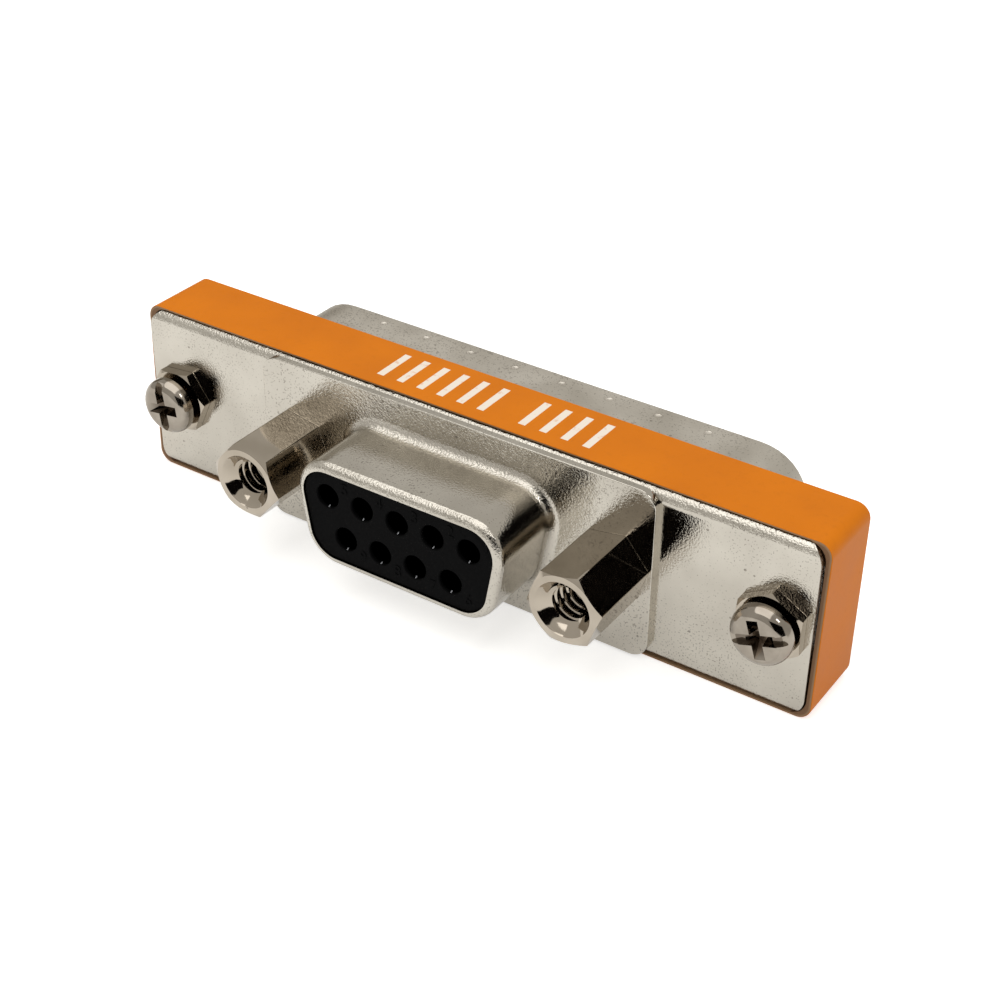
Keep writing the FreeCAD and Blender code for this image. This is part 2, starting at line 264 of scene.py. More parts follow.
def turnedRows(profile, places, steps):
    # the same turned solid at every place of a contact grid
    bm = bmesh.new()
    for x, z in places:
        joinForms(bm, turnedForm(profile, steps, x, z))
    return bm


def hexBar(flats, turn, x, front, back, edge):
    # hexagonal bar along Y with softened long edges
    bm = bmesh.new()
    radius = flats / 2 / math.cos(math.pi / 6) * mm
    place = shiftTo(x, (front + back) / 2, axisHeight)
    place = place @ Matrix.Rotation(math.radians(30 - turn), 4, "Y")
    place = place @ Matrix.Rotation(math.pi / 2, 4, "X")
    bmesh.ops.create_cone(bm, cap_ends=True, segments=6, radius1=radius, radius2=radius,
                          depth=(back - front) * mm, matrix=place)
    along = [side for side in bm.edges
             if abs(side.verts[0].co.y - side.verts[1].co.y) > 0.1 * mm]
    bmesh.ops.bevel(bm, geom=along, offset=edge * mm, segments=3,
                    profile=0.5, affect="EDGES", material=-1)
    rear = [side for side in bm.edges
            if min(vert.co.y for vert in side.verts) > (back - 0.01) * mm]
    bmesh.ops.bevel(bm, geom=rear, offset=edge * mm, segments=2,
                    profile=0.5, affect="EDGES", material=-1)
    return bm


# inch thread, right handed
threadForm = {"pitch": 0.635, "root": 1.02, "minor": 1.17, "major": 1.42, "crestHalf": 0.04}


def helixForm(base, half, start, turns, x, stepsPerTurn=32):
    # closed helical bar from its base radius out to the major radius
    crest, flat = threadForm["major"], threadForm["crestHalf"]
    section = [(base, start - half), (crest, start - flat), (crest, start + flat),
               (base, start + half)]
    rise = threadForm["pitch"] * mm / stepsPerTurn
    return sweptForm(section, math.tau * turns, rise, int(stepsPerTurn * turns), x)


def startMaterial(name, settings):
    material = bpy.data.materials.new(name)
    material.use_nodes = True
    tree = material.node_tree
    shader = tree.nodes["Principled BSDF"]
    for key, value in settings.items():
        shader.inputs[key].default_value = value
    coords = tree.nodes.new("ShaderNodeTexCoord")
    return material, tree, shader, coords.outputs["Object"]


def setInput(tree, socket, value):
    if isinstance(value, (int, float)):
        socket.default_value = value
    elif isinstance(value, tuple):
        alike = len(value) == len(socket.default_value)
        socket.default_value = value if alike else (*value, 1.0)
    else:
        tree.links.new(value, socket)


def addNode(tree, kind, inputs, **settings):
    node = tree.nodes.new("ShaderNode" + kind)
    for key, value in settings.items():
        setattr(node, key, value)
    for key, value in inputs.items():
        setInput(tree, node.inputs[key], value)
    return node


def addNoise(tree, coords, scale, detail=2.0, roughness=0.5):
    inputs = {"Vector": coords, "Scale": scale, "Detail": detail, "Roughness": roughness}
    return addNode(tree, "TexNoise", inputs).outputs["Fac"]


def addSplit(tree, coords):
    return addNode(tree, "SeparateXYZ", {"Vector": coords}).outputs


def addRange(tree, value, low, high, newLow, newHigh):
    ends = {"From Min": low, "From Max": high, "To Min": newLow, "To Max": newHigh}
    return addNode(tree, "MapRange", {"Value": value, **ends}).outputs["Result"]


def addMath(tree, operation, *values):
    return addNode(tree, "Math", dict(enumerate(values)), operation=operation).outputs[0]


def addVector(tree, operation, *values):
    node = addNode(tree, "VectorMath", dict(enumerate(values)), operation=operation)
    return node.outputs["Value" if operation == "LENGTH" else "Vector"]


def addMix(tree, factor, first, second):
    inputs = {0: factor, 6: first, 7: second}  # the colours are the seventh and eighth sockets
    return addNode(tree, "Mix", inputs, data_type="RGBA").outputs[2]


def addClouds(tree, coords, look, detail, low, high):
    # a pattern of faint clouds, and the tone that it gives
    clouds = addNoise(tree, coords, look["cloudScale"], detail)
    cloudy = addRange(tree, clouds, low, high, 0.0, 1.0)
    return clouds, addMix(tree, cloudy, look["darkTone"], look["lightTone"])


def addSpecks(tree, coords, look, tone):
    # small dark marks, scattered
    cells = addNode(tree, "TexVoronoi", {"Vector": coords, "Scale": look["pitScale"]}).outputs
    inside = addMath(tree, "LESS_THAN", cells["Distance"], look["pitSize"])
    split = addNode(tree, "SeparateColor", {"Color": cells["Color"]}).outputs
    chosen = addMath(tree, "LESS_THAN", split["Red"], look["pitShare"])
    marks = addMath(tree, "MULTIPLY", addMath(tree, "MULTIPLY", inside, chosen), look["pitDepth"])
    return addMix(tree, marks, tone, look["pitTone"])


def finishSurface(tree, shader, look, tone, pattern, relief=None):
    # tone, roughness that follows a pattern, and a fine relief
    rough = addRange(tree, pattern, 0.3, 0.7, look["roughLow"], look["roughHigh"])
    tree.links.new(tone, shader.inputs["Base Color"])
    tree.links.new(rough, shader.inputs["Roughness"])
    if relief is not None:
        bump = addNode(tree, "Bump", {"Height": relief, "Strength": look["reliefStrength"],
                                      "Distance": look["reliefDepth"] * mm})
        tree.links.new(bump.outputs["Normal"], shader.inputs["Normal"])


# plated sheet: pebbled grain, coarser where it was drawn, faint clouds, fine dust and dark pits
brightSheetLook = {
    "darkTone": (0.50, 0.468, 0.413), "lightTone": (0.60, 0.567, 0.505),
    "pitTone": (0.13, 0.11, 0.09), "cloudScale": 180.0,
    "grainScale": 7000.0, "reliefStrength": 1.0, "reliefDepth": 0.014,
    # low Y, high Y and half length of each stretch that was drawn
    "drawnBands": ((-9.3, -8.85, 30.0), (-4.25, -3.45, 8.2), (-2.95, -2.0, 30.0)),
    "drawnFade": 2.5, "drawnGain": 2.6, "roughLow": 0.06, "roughHigh": 0.10,
    "pitScale": 1500.0, "pitSize": 0.14, "pitShare": 0.07, "pitDepth": 0.6,
    "dustScale": 9000.0, "dustLevel": 0.93, "dustDepth": 0.5,
}
dullSheetLook = {
    "darkTone": (0.53, 0.495, 0.435), "lightTone": (0.62, 0.585, 0.525),
    "pitTone": (0.14, 0.12, 0.09), "cloudScale": 260.0,
    "grainScale": 4800.0, "reliefStrength": 0.5, "reliefDepth": 0.03,
    "drawnBands": ((2.2, 3.2, 30.0),),
    "drawnFade": 2.5, "drawnGain": 0.5, "roughLow": 0.42, "roughHigh": 0.52,
    "pitScale": 1500.0, "pitSize": 0.15, "pitShare": 0.10, "pitDepth": 0.5,
    "dustScale": 9000.0, "dustLevel": 0.90, "dustDepth": 0.45,
}


def addDrawn(tree, coords, look):
    # 1 where the sheet was drawn round an edge, fading out towards its ends
    x, y, z = addSplit(tree, coords)
    fade = look["drawnFade"]
    total = 0.0
    for low, high, half in look["drawnBands"]:
        near = addMath(tree, "COMPARE", y, (low + high) / 2 * mm, (high - low) / 2 * mm)
        along = addRange(tree, addMath(tree, "ABSOLUTE", x),
                         (half - fade) * mm, (half + fade) * mm, 1.0, 0.0)
        total = addMath(tree, "MAXIMUM", addMath(tree, "MULTIPLY", near, along), total)
    return total


def platedSheet(name, look):
    material, tree, shader, coords = startMaterial(name, {"Metallic": 1.0})
    clouds, tone = addClouds(tree, coords, look, 4.0, 0.35, 0.65)
    tone = addSpecks(tree, coords, look, tone)
    # dust gathers where a second layer of clouds is dense
    dense = addNoise(tree, coords, look["cloudScale"] * 0.9, 3.0)
    dust = addNoise(tree, coords, look["dustScale"], 0.0)
    dust = addMath(tree, "MULTIPLY_ADD", dense, 0.45, dust)
    level = look["dustLevel"]
    dust = addRange(tree, dust, level, level + 0.05, 0.0, look["dustDepth"])
    tone = addMix(tree, dust, tone, look["pitTone"])
    grain = addNoise(tree, coords, look["grainScale"], 2.0, 0.55)
    grain = addMath(tree, "SUBTRACT", grain, 0.5)
    gain = addMath(tree, "MULTIPLY_ADD", addDrawn(tree, coords, look), look["drawnGain"], 1.0)
    finishSurface(tree, shader, look, tone, clouds, addMath(tree, "MULTIPLY", grain, gain))
    return material


# machined and plated: smooth, with hairlines across the stretch
standoffLook = {
    "darkTone": (0.41, 0.36, 0.295), "lightTone": (0.50, 0.445, 0.375),
    "pitTone": (0.12, 0.09, 0.07), "cloudScale": 420.0, "roughLow": 0.05, "roughHigh": 0.11,
    "pitScale": 1600.0, "pitSize": 0.12, "pitShare": 0.05, "pitDepth": 0.6,
    "lineStretch": (9000.0, 400.0, 9000.0), "reliefStrength": 0.10, "reliefDepth": 0.01,
}
screwLook = {
    "darkTone": (0.29, 0.255, 0.215), "lightTone": (0.38, 0.34, 0.29),
    "pitTone": (0.10, 0.08, 0.06), "cloudScale": 900.0, "roughLow": 0.07, "roughHigh": 0.15,
    "pitScale": 2200.0, "pitSize": 0.12, "pitShare": 0.06, "pitDepth": 0.6,
    "lineStretch": (2500.0, 9000.0, 2500.0), "reliefStrength": 0.14, "reliefDepth": 0.01,
    # painted shade: the drive recess darkens towards its floor
    "recessShadeTone": (0.11, 0.085, 0.065), "recessStart": -5.24, "recessEnd": -4.7,
    "recessRadius": 1.6, "axisPlace": 23.52,
}


def darkenRecess(tree, coords, tone, look):
    # painted shade in the drive recess, darker with its depth
    fromAxis = addVector(tree, "SUBTRACT", addVector(tree, "ABSOLUTE", coords),
                         (look["axisPlace"] * mm, 0.0, axisHeight * mm))
    across = addVector(tree, "MULTIPLY", fromAxis, (1.0, 0.0, 1.0))
    radius = addVector(tree, "LENGTH", across)
    x, y, z = addSplit(tree, coords)
    deep = addRange(tree, y, look["recessStart"] * mm, look["recessEnd"] * mm, 0.0, 1.0)
    inside = addMath(tree, "LESS_THAN", radius, look["recessRadius"] * mm)
    return addMix(tree, addMath(tree, "MULTIPLY", deep, inside), tone, look["recessShadeTone"])


def polishedNickel(name, look):
    material, tree, shader, coords = startMaterial(name, {"Metallic": 1.0})
    clouds, tone = addClouds(tree, coords, look, 2.0, 0.3, 0.7)
    tone = addSpecks(tree, coords, look, tone)
    if "recessShadeTone" in look:
        tone = darkenRecess(tree, coords, tone, look)
    stretch = addNode(tree, "Mapping", {"Vector": coords, "Scale": look["lineStretch"]})
    lines = addNoise(tree, stretch.outputs["Vector"], 1.0)
    finishSurface(tree, shader, look, tone, clouds, lines)
    return material


# moulded plastic with a fine grain: dull black, and pale for the tongues in the contact holes, a
# painted glint
insulatorLook = {
    "darkTone": (0.0018, 0.0018, 0.0020), "lightTone": (0.0036, 0.0036, 0.0040),
    "gloss": 0.03, "cloudScale": 500.0, "roughLow": 0.42, "roughHigh": 0.60,
    "grainScale": 4500.0, "reliefStrength": 0.3, "reliefDepth": 0.01,
}
glintTongueLook = {
    "darkTone": (0.26, 0.27, 0.29), "lightTone": (0.38, 0.39, 0.42),
    "gloss": 0.4, "cloudScale": 900.0, "roughLow": 0.25, "roughHigh": 0.35,
    "grainScale": 4500.0, "reliefStrength": 0.3, "reliefDepth": 0.01,
}


def mouldedPlastic(name, look):
    material, tree, shader, coords = startMaterial(name, {"Specular IOR Level": look["gloss"]})
    clouds = addNoise(tree, coords, look["cloudScale"], 3.0)
    tone = addMix(tree, clouds, look["darkTone"], look["lightTone"])
    grain = addNoise(tree, coords, look["grainScale"], 3.0)
    finishSurface(tree, shader, look, tone, grain, grain)
    return material


# gold flash on the contacts
goldLook = {
    "darkTone": (0.40, 0.28, 0.12), "lightTone": (0.56, 0.42, 0.20),
    "cloudScale": 900.0, "roughLow": 0.2, "roughHigh": 0.34,
    "grainScale": 6000.0, "reliefStrength": 0.1, "reliefDepth": 0.01,
}


def goldFlash(name, look):
    material, tree, shader, coords = startMaterial(name, {"Metallic": 1.0})
    clouds = addNoise(tree, coords, look["cloudScale"])
    tone = addMix(tree, clouds, look["darkTone"], look["lightTone"])
    grain = addNoise(tree, coords, look["grainScale"])
    finishSurface(tree, shader, look, tone, clouds, grain)
    return material


# orange sleeve with painted shade, brown on its cut edge and darker brown on its inside, and plain
# pale marks on top
bandForm = {
    "length": 53.15, "height": 12.86, "corner": 1.0, "half": 2.7, "edge": 0.05,
    "openLength": 52.4, "openHeight": 12.58, "openCorner": 1.25, "lean": 0.15,
}
bandLook = {
    "lightTone": (0.695, 0.193, 0.004), "darkTone": (0.63, 0.171, 0.004),
    "fibreTone": (0.50, 0.130, 0.004), "rimShadeTone": (0.32, 0.20, 0.115),
    "insideShadeTone": (0.22, 0.125, 0.07), "cloudScale": 160.0, "fibreScale": 2600.0,
    "gloss": 0.1, "roughLow": 0.38, "roughHigh": 0.48, "reliefStrength": 0.12, "reliefDepth": 0.02,
    # depths below the surface where the painted shade of the cut edge and of the inside begins
    "uneven": 0.12, "cutDepth": (0.03, 0.07), "insideDepth": (0.16, 0.19),
}
# a row of plain upright marks with one gap
markForm = {
    "left": -7.2, "right": 10.4, "front": -1.45, "back": 1.75, "pitch": 1.6, "share": 0.34,
    "gapAt": 2.4, "tone": (0.86, 0.79, 0.69), "worn": 0.6, "sound": 0.97,
}


def addMarks(tree, coords, fibres, tone):
    x, y, z = addSplit(tree, coords)
    form = markForm
    pitch = form["pitch"] * mm
    along = addMath(tree, "DIVIDE", addMath(tree, "SUBTRACT", x, form["left"] * mm), pitch)
    marks = addMath(tree, "LESS_THAN", addMath(tree, "FRACT", along), form["share"])
    fromGap = addMath(tree, "ABSOLUTE", addMath(tree, "SUBTRACT", x, form["gapAt"] * mm))
    top = axisHeight + bandForm["height"] / 2 - 0.1
    limits = [
        ("GREATER_THAN", x, form["left"] * mm), ("LESS_THAN", x, form["right"] * mm),
        ("GREATER_THAN", y, form["front"] * mm), ("LESS_THAN", y, form["back"] * mm),
        ("GREATER_THAN", z, top * mm), ("GREATER_THAN", fromGap, pitch / 2),
    ]
    for operation, value, limit in limits:
        marks = addMath(tree, "MULTIPLY", marks, addMath(tree, operation, value, limit))
    worn = addRange(tree, fibres, 0.25, 0.4, form["worn"], form["sound"])
    return addMix(tree, addMath(tree, "MULTIPLY", marks, worn), tone, form["tone"])


def addSurfaceDepth(tree, coords):
    # depth below the outer surface of the sleeve, from a rounded rectangle
    form = bandForm
    corner = form["corner"]
    centred = addVector(tree, "SUBTRACT", coords, (0.0, 0.0, axisHeight * mm))
    centred = addVector(tree, "ABSOLUTE", centred)
    inner = ((form["length"] / 2 - corner) * mm, 1.0, (form["height"] / 2 - corner) * mm)
    beyond = addVector(tree, "SUBTRACT", centred, inner)
    beyond = addVector(tree, "MAXIMUM", beyond, (0.0, 0.0, 0.0))
    return addMath(tree, "SUBTRACT", corner * mm, addVector(tree, "LENGTH", beyond))


def sleevePlastic(name, look):
    material, tree, shader, coords = startMaterial(name, {"Specular IOR Level": look["gloss"]})
    clouds, tone = addClouds(tree, coords, look, 3.0, 0.35, 0.65)
    fibres = addNoise(tree, coords, look["fibreScale"])
    tone = addMix(tree, addRange(tree, fibres, 0.55, 0.8, 0.0, 0.2), tone, look["fibreTone"])
    tone = addMarks(tree, coords, fibres, tone)
    depth = addSurfaceDepth(tree, coords)
    uneven = addMath(tree, "MULTIPLY", addMath(tree, "SUBTRACT", clouds, 0.5), look["uneven"] * mm)
    cutDepth = addMath(tree, "ADD", depth, uneven)
    # painted shade: the cut edge turns brown and the inside darker brown
    for below, (low, high), under in ((cutDepth, look["cutDepth"], look["rimShadeTone"]),
                                      (depth, look["insideDepth"], look["insideShadeTone"])):
        tone = addMix(tree, addRange(tree, below, low * mm, high * mm, 0.0, 1.0), tone, under)
    finishSurface(tree, shader, look, tone, clouds, fibres)
    return material


# green board laminate, hidden between the two connectors
boardLook = {
    "darkTone": (0.012, 0.09, 0.03), "lightTone": (0.02, 0.13, 0.05), "cloudScale": 900.0,
    "weaveScale": 700.0, "weaveDistortion": 1.5, "roughLow": 0.3, "roughHigh": 0.45,
}


def boardLaminate(name, look):
    material, tree, shader, coords = startMaterial(name, {})
    weave = addNode(tree, "TexWave", {"Vector": coords, "Scale": look["weaveScale"],
                                      "Distortion": look["weaveDistortion"]})
    tone = addMix(tree, weave.outputs["Fac"], look["darkTone"], look["lightTone"])
    finishSurface(tree, shader, look, tone, addNoise(tree, coords, look["cloudScale"]))
    return material


brightSheet = platedSheet("brightPlatedSheet", brightSheetLook)
dullSheet = platedSheet("dullPlatedSheet", dullSheetLook)
standoffNickel = polishedNickel("standoffNickel", standoffLook)
screwNickel = polishedNickel("screwNickel", screwLook)
blackPlastic = mouldedPlastic("mouldedBlack", insulatorLook)
contactGold = goldFlash("contactGold", goldLook)
glintTongue = mouldedPlastic("paintedGlintRib", glintTongueLook)
orangeSleeve = sleevePlastic("orangeSleeve", bandLook)
laminate = boardLaminate("boardLaminate", boardLook)
print("materials made")


def makeBand():
    form = bandForm
    half = form["half"]
    size = (form["length"], form["height"], form["corner"])
    opening = sizeOf(form, "open")
    edge = quarterRound(form["edge"], 3)
    bm = bmesh.new()
    outside = [plateRing(bm, *size, inset, depth - half) for inset, depth in reversed(edge)]
    outside += [plateRing(bm, *size, inset, half - depth) for inset, depth in edge]
    bridgeAll(bm, outside)
    inside = [plateRing(bm, *opening, 0, y) for y in (-half, half)]
    bridgeAll(bm, inside)
    fillBetween(bm, outside[0], inside[0])
    fillBetween(bm, outside[-1], inside[1])
    # the front edge was cut a little askew
    for vert in bm.verts:
        if vert.co.y < 0:
            height = vert.co.z / mm - axisHeight
            vert.co.y += form["lean"] * mm * height / (form["height"] / 2)
    dressForm("orangeBand", closeUp(bm), orangeSleeve, stands=["band"], slot="orange_plastic")


makeBand()
print("band made")

# folded plate that stands a little proud of the band, its long sides turned back round a bend
plateForm = {
    "length": 52.25, "height": 12.5, "corner": 1.3, "sheet": 0.45, "bend": 0.9, "lowBend": 0.7,
    "proud": 0.35, "standoffPlace": 12.495, "standoffHole": 1.52,
    "screwPlace": 23.52, "nutHole": 1.82, "cutterReach": 1.0,
}
# flange and hood drawn from one sheet, the hood's front turned in to a lip
socketForm = {
    "width": 16.0, "height": 7.65, "corner": 2.5, "sideAngle": 10.0, "sheet": 0.5,
    "wall": 0.38, "lip": 0.2, "lipDepth": 0.35, "root": 0.7,
    "flangeLength": 30.8, "flangeHeight": 12.5, "flangeCorner": 1.3, "flangeEdge": 0.06,
}

# planes across the adapter, along Y
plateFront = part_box("front_plate")[0][1] / mm - plateForm["proud"]
plateBack = plateFront + plateForm["sheet"]
flangeFront = plateFront - socketForm["sheet"]
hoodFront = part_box("socket_shell")[0][1] / mm
plugFront, plugEnd = (corner[1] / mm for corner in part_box("plug_shell"))
boardFront, boardBack = (corner[1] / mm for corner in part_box("circuit_board"))


def boltHoles(place, radius, front, back):
    bm = bmesh.new()
    for side in (-1, 1):
        joinForms(bm, rodForm(front, back, radius, 40, side * place))
    return bm


def foldedPlate():
    # C section with its bends, pushed out along X
    form = plateForm
    high = form["height"] / 2
    low = high - form["sheet"]
    outline = [(plugFront, -high), (plateFront, -high), (plateFront, high), (plugFront, high),
               (plugFront, low), (plateBack, low), (plateBack, -low), (plugFront, -low)]
    bm = bmesh.new()
    x = -form["length"] / 2 * mm
    verts = [bm.verts.new((x, y * mm, (axisHeight + z) * mm)) for y, z in outline]
    bm.faces.new(verts)
    bends = ((1, form["lowBend"]), (2, form["bend"]),
             (5, form["bend"] - form["sheet"]), (6, form["lowBend"] - form["sheet"]))
    for index, radius in bends:
        bmesh.ops.bevel(bm, geom=[verts[index]], offset=radius * mm, segments=10,
                        profile=0.5, affect="VERTICES", material=-1)
    pushed = bmesh.ops.extrude_face_region(bm, geom=list(bm.faces))
    moved = [item for item in pushed["geom"] if isinstance(item, bmesh.types.BMVert)]
    bmesh.ops.translate(bm, verts=moved, vec=(form["length"] * mm, 0, 0))
    return closeUp(bm)


def makeFrontPlate():
    form = plateForm
    size = (form["length"], form["height"], form["corner"])
    front = plateFront - form["cutterReach"]
    back = plateBack + clear
    trim = bmesh.new()
    ends = (front, plugFront + form["cutterReach"])
    solidBetween(trim, [plateRing(trim, *size, 0, y) for y in ends])
    opening = bmesh.new()
    wall = socketForm["wall"]
    solidBetween(opening, [shellRing(opening, socketForm, wall, y) for y in (front, back)])
    standoffHoles = boltHoles(form["standoffPlace"], form["standoffHole"], front, back)
    nutHoles = boltHoles(form["screwPlace"], form["nutHole"], front, back)
    mesh = carve(foldedPlate(), ("INTERSECT", trim), ("DIFFERENCE", opening),
                 ("DIFFERENCE", standoffHoles), ("DIFFERENCE", nutHoles))
    dressMesh("frontPlate", mesh, brightSheet, stands=["front_plate"], slot="bright_steel")


def makeSocketShell():
    form = socketForm
    flange = sizeOf(form, "flange")
    bm = bmesh.new()
    outer = [plateRing(bm, *flange, 0, plateFront)]
    outer += [plateRing(bm, *flange, inset, flangeFront + depth)
              for inset, depth in quarterRound(form["flangeEdge"], 4)]
    bridgeAll(bm, outer)
    wall = form["wall"]
    rim = wall + form["lip"]
    lipBack = hoodFront + form["lipDepth"]
    hood = [shellRing(bm, form, -inset, flangeFront - depth)
            for inset, depth in reversed(quarterRound(form["root"]))]
    hood += [shellRing(bm, form, inset, hoodFront + depth)
             for inset, depth in quarterRound(rim, 8)]
    hood += [shellRing(bm, form, inset, y)
             for inset, y in ((rim, lipBack), (wall, lipBack), (wall, plateFront))]
    bridgeAll(bm, hood)
    fillBetween(bm, outer[-1], hood[0])
    fillBetween(bm, outer[0], hood[-1])
    closeUp(bm)
    holes = boltHoles(plateForm["standoffPlace"], plateForm["standoffHole"],
                      flangeFront - clear, plateFront + clear)
    mesh = carve(bm, ("DIFFERENCE", holes))
    dressMesh("socketShell", mesh, brightSheet, stands=["socket_shell"], slot="bright_steel")


makeFrontPlate()
makeSocketShell()
print("front plate and socket shell made")

# wide shell with dimples near its rear rim
plugForm = {
    "width": 40.2, "height": 9.25, "corner": 3.6, "sideAngle": 10.0, "sheet": 0.45,
    "wall": 0.4, "root": 0.4, "edge": 0.1, "screwHole": 1.52,
    "flangeLength": 52.25, "flangeHeight": 12.4, "flangeCorner": 0.9,
    "dimplePitch": 3.77, "dimpleRadius": 0.3, "dimpleDepth": 0.09, "dimplePlace": 1.05,
}
plugBack = plugFront + plugForm["sheet"]


def addDimple(bm, x, y, z):
    form = plugForm
    flat = Matrix.Diagonal((1, 1, form["dimpleDepth"] / form["dimpleRadius"], 1))
    bmesh.ops.create_uvsphere(bm, u_segments=20, v_segments=10, radius=form["dimpleRadius"] * mm,
                              matrix=shiftTo(x, y, axisHeight + z) @ flat)


def makePlugShell():
    form = plugForm
    flange = sizeOf(form, "flange")
    edge = quarterRound(form["edge"], 3)
    thick = form["wall"]
    bm = bmesh.new()
    outer = [plateRing(bm, *flange, 0, plugFront)]
    outer += [plateRing(bm, *flange, inset, plugBack - depth) for inset, depth in edge]
    bridgeAll(bm, outer)
    wall = [shellRing(bm, form, -inset, plugBack + depth)
            for inset, depth in reversed(quarterRound(form["root"]))]
    wall += [shellRing(bm, form, inset, plugEnd - depth) for inset, depth in edge]
    wall += [shellRing(bm, form, thick - inset, plugEnd - depth)
             for inset, depth in reversed(edge)]
    wall.append(shellRing(bm, form, thick, plugFront))
    bridgeAll(bm, wall)
    fillBetween(bm, outer[-1], wall[0])
    fillBetween(bm, outer[0], wall[-1])
    closeUp(bm)
    # pressed from outside, so each dent stands out on the inside
    dents, bumps = bmesh.new(), bmesh.new()
    y = plugEnd - form["dimplePlace"]
    high = form["height"] / 2
    for side, count in ((1, 8), (-1, 7)):
        for index in range(count):
            x = (index - (count - 1) / 2) * form["dimplePitch"]
            addDimple(dents, x, y, side * high)
            addDimple(bumps, x, y, side * (high - thick))
    holes = boltHoles(plateForm["screwPlace"], form["screwHole"],
                      plugFront - clear, plugBack + clear)
    mesh = carve(bm, ("DIFFERENCE", holes), ("DIFFERENCE", dents), ("UNION", bumps))
    dressMesh("plugShell", mesh, dullSheet, stands=["plug_shell"], slot="matte_steel")


makePlugShell()
print("plug shell made")

contactGrid = {"pitch": 2.76, "rows": 2.84}


def contactPlaces(count):
    # the longer row on top, numbered from the +X end
    upper = (count + 1) // 2
    found = []
    for row, inRow in ((1, upper), (-1, count - upper)):
        for index in range(inRow):
            x = ((inRow - 1) / 2 - index) * contactGrid["pitch"]
            found.append((x, row * contactGrid["rows"] / 2))
    return found


# one block behind the plate with a face that fills the hood
socketFace = {
    "recess": 0.12, "gap": 0.05, "edge": 0.08, "holeRadius": 0.86, "holeMouth": 0.06,
    "rimLength": 18.4, "rimHeight": 10.05, "rimCorner": 0.1, "rimThickness": 0.9,
    "digitSize": 1.2, "digitRise": 0.04, "digitRight": 1.38, "digitUp": 0.95, "digitDown": 0.85,
}
faceFront = hoodFront + socketFace["recess"]


def makeSocketInsulator():
    form = socketForm
    face = socketFace
    inset = form["wall"] + face["gap"]
    narrow = inset + form["lip"]
    stepBack = hoodFront + form["lipDepth"] + face["gap"]
    rimBack = plateBack + face["rimThickness"]
    rimSize = sizeOf(face, "rim")
    bm = bmesh.new()
    rings = [shellRing(bm, form, narrow + more, faceFront + depth)
             for more, depth in reversed(quarterRound(face["edge"], 3))]
    rings += [shellRing(bm, form, side, y)
              for side, y in ((narrow, stepBack), (inset, stepBack), (inset, plateBack))]
    rim = [plateRing(bm, *rimSize, 0, y) for y in (plateBack, rimBack)]
    bridgeAll(bm, rings)
    bridgeAll(bm, rim)
    fillBetween(bm, rings[-1], rim[0])
    fillBetween(bm, rings[0])
    fillBetween(bm, rim[1])
    closeUp(bm)
    radius, mouth = face["holeRadius"], face["holeMouth"]
    profile = [(faceFront - clear, 0), (faceFront - clear, radius + mouth + clear),
               (faceFront + mouth, radius), (rimBack + clear, radius), (rimBack + clear, 0)]
    mesh = carve(bm, ("DIFFERENCE", turnedRows(profile, contactPlaces(9), 32)))
    dressMesh("socketInsulator", mesh, blackPlastic, stands=["socket_insulator"],
              slot="black_plastic")


def digitMesh(number):
    face = socketFace
    curve = bpy.data.curves.new("digit", "FONT")
    curve.body = str(number)
    curve.size = face["digitSize"] * mm
    curve.align_x = curve.align_y = "CENTER"
    curve.extrude = face["digitRise"] * mm
    curve.resolution_u = 3
    digit = linkNew("digit", curve)
    seen = digit.evaluated_get(bpy.context.evaluated_depsgraph_get())
    mesh = bpy.data.meshes.new_from_object(seen)
    bpy.data.objects.remove(digit)
    return mesh


def makeContactNumbers():
    # plain contact numbers moulded beside the holes
    face = socketFace
    bm = bmesh.new()
    for number, (x, z) in enumerate(contactPlaces(9), 1):
        mesh = digitMesh(number)
        up = face["digitUp"] if z > 0 else -face["digitDown"]
        place = shiftTo(x + face["digitRight"], faceFront, axisHeight + z + up)
        mesh.transform(place @ Matrix.Rotation(math.pi / 2, 4, "X"))
        bm.from_mesh(mesh)
        bpy.data.meshes.remove(mesh)
    dressForm("contactNumbers", closeUp(bm), blackPlastic, slot="black_plastic")


# sleeves split into two tines at the front
contactForm = {
    "radius": 0.74, "bore": 0.54, "edge": 0.08, "depth": 0.95,
    "slotLength": 1.9, "slotAngle": 16.0, "boreDepth": 4.2,
}


def tineForm(half, front, back, x, z):
    form = contactForm
    bore, radius, edge = form["bore"], form["radius"], form["edge"]
    section = [(bore, front), (radius - edge, front), (radius, front + edge),
               (radius, back), (bore, back)]
    angle = math.radians(180 - form["slotAngle"])
    start = math.radians(90 + 180 * half + form["slotAngle"] / 2)
    return sweptForm(section, angle, 0, 14, x, z, start)


def makeSocketContacts():
    form = contactForm
    bore, radius = form["bore"], form["radius"]
    front = faceFront + form["depth"]
    slotEnd = front + form["slotLength"]
    boreEnd = front + form["boreDepth"]
    sleeve = [(slotEnd, bore), (slotEnd, radius), (boardFront, radius), (boardFront, 0),
              (boreEnd, 0), (boreEnd, bore), (slotEnd, bore)]
    bm = turnedRows(sleeve, contactPlaces(9), 24)
    for x, z in contactPlaces(9):
        for half in (0, 1):
            joinForms(bm, tineForm(half, front, slotEnd, x, z))
    nodes = [f"socket_contact_{number}" for number in range(1, 10)]
    dressForm("socketContacts", bm, contactGold, stands=nodes, slot="gold_contact")


# thin pale tongue that rises from the floor of each hole towards the contact; its pale colour is a
# painted glint
tongueForm = {
    "width": 0.07, "thickness": 0.04, "length": 0.72, "tilt": 29.7, "front": 0.08, "sunk": 0.02,
}


